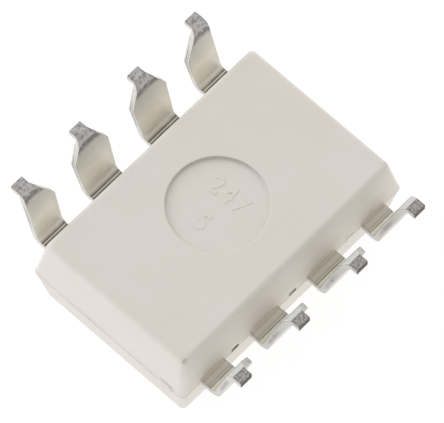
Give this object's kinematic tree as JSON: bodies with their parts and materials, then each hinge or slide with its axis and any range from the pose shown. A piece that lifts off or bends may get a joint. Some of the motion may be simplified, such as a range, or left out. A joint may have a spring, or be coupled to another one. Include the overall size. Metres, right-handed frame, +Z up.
{
  "type": "dip integrated circuit chip",
  "caption": "White moulded dual in-line chip package with short gull-wing leads bent outward for surface soldering; round ejector recess in its underside.",
  "frame": {"origin": "middle of the footprint, on the board's surface under the feet", "axes": "+Z up from the board, X along the two rows of leads, Y across them; leads 1 to 4 are the row on the -Y side counted from -X, leads 5 to 8 come back along +Y"},
  "size_m": [0.0098, 0.0094, 0.0041],
  "materials": {
    "moulding": "matt off-white moulding compound",
    "tinned_lead": "satin tin plating",
    "frame_metal": "bare copper alloy",
    "adhesive": "cured adhesive",
    "silicon": "polished silicon",
    "bond_wire": "drawn gold wire"
  },
  "bodies": {
    "root": {"body": "moulding", "lead_1": "tinned_lead", "lead_2": "tinned_lead", "lead_3": "tinned_lead", "lead_4": "tinned_lead", "lead_5": "tinned_lead", "lead_6": "tinned_lead", "lead_7": "tinned_lead", "lead_8": "tinned_lead", "die_pad": "frame_metal", "adhesive": "adhesive", "die": "silicon", "wire_1": "bond_wire", "wire_2": "bond_wire", "wire_3": "bond_wire", "wire_4": "bond_wire", "wire_5": "bond_wire", "wire_6": "bond_wire", "wire_7": "bond_wire", "wire_8": "bond_wire"}
  },
  "joints": []
}
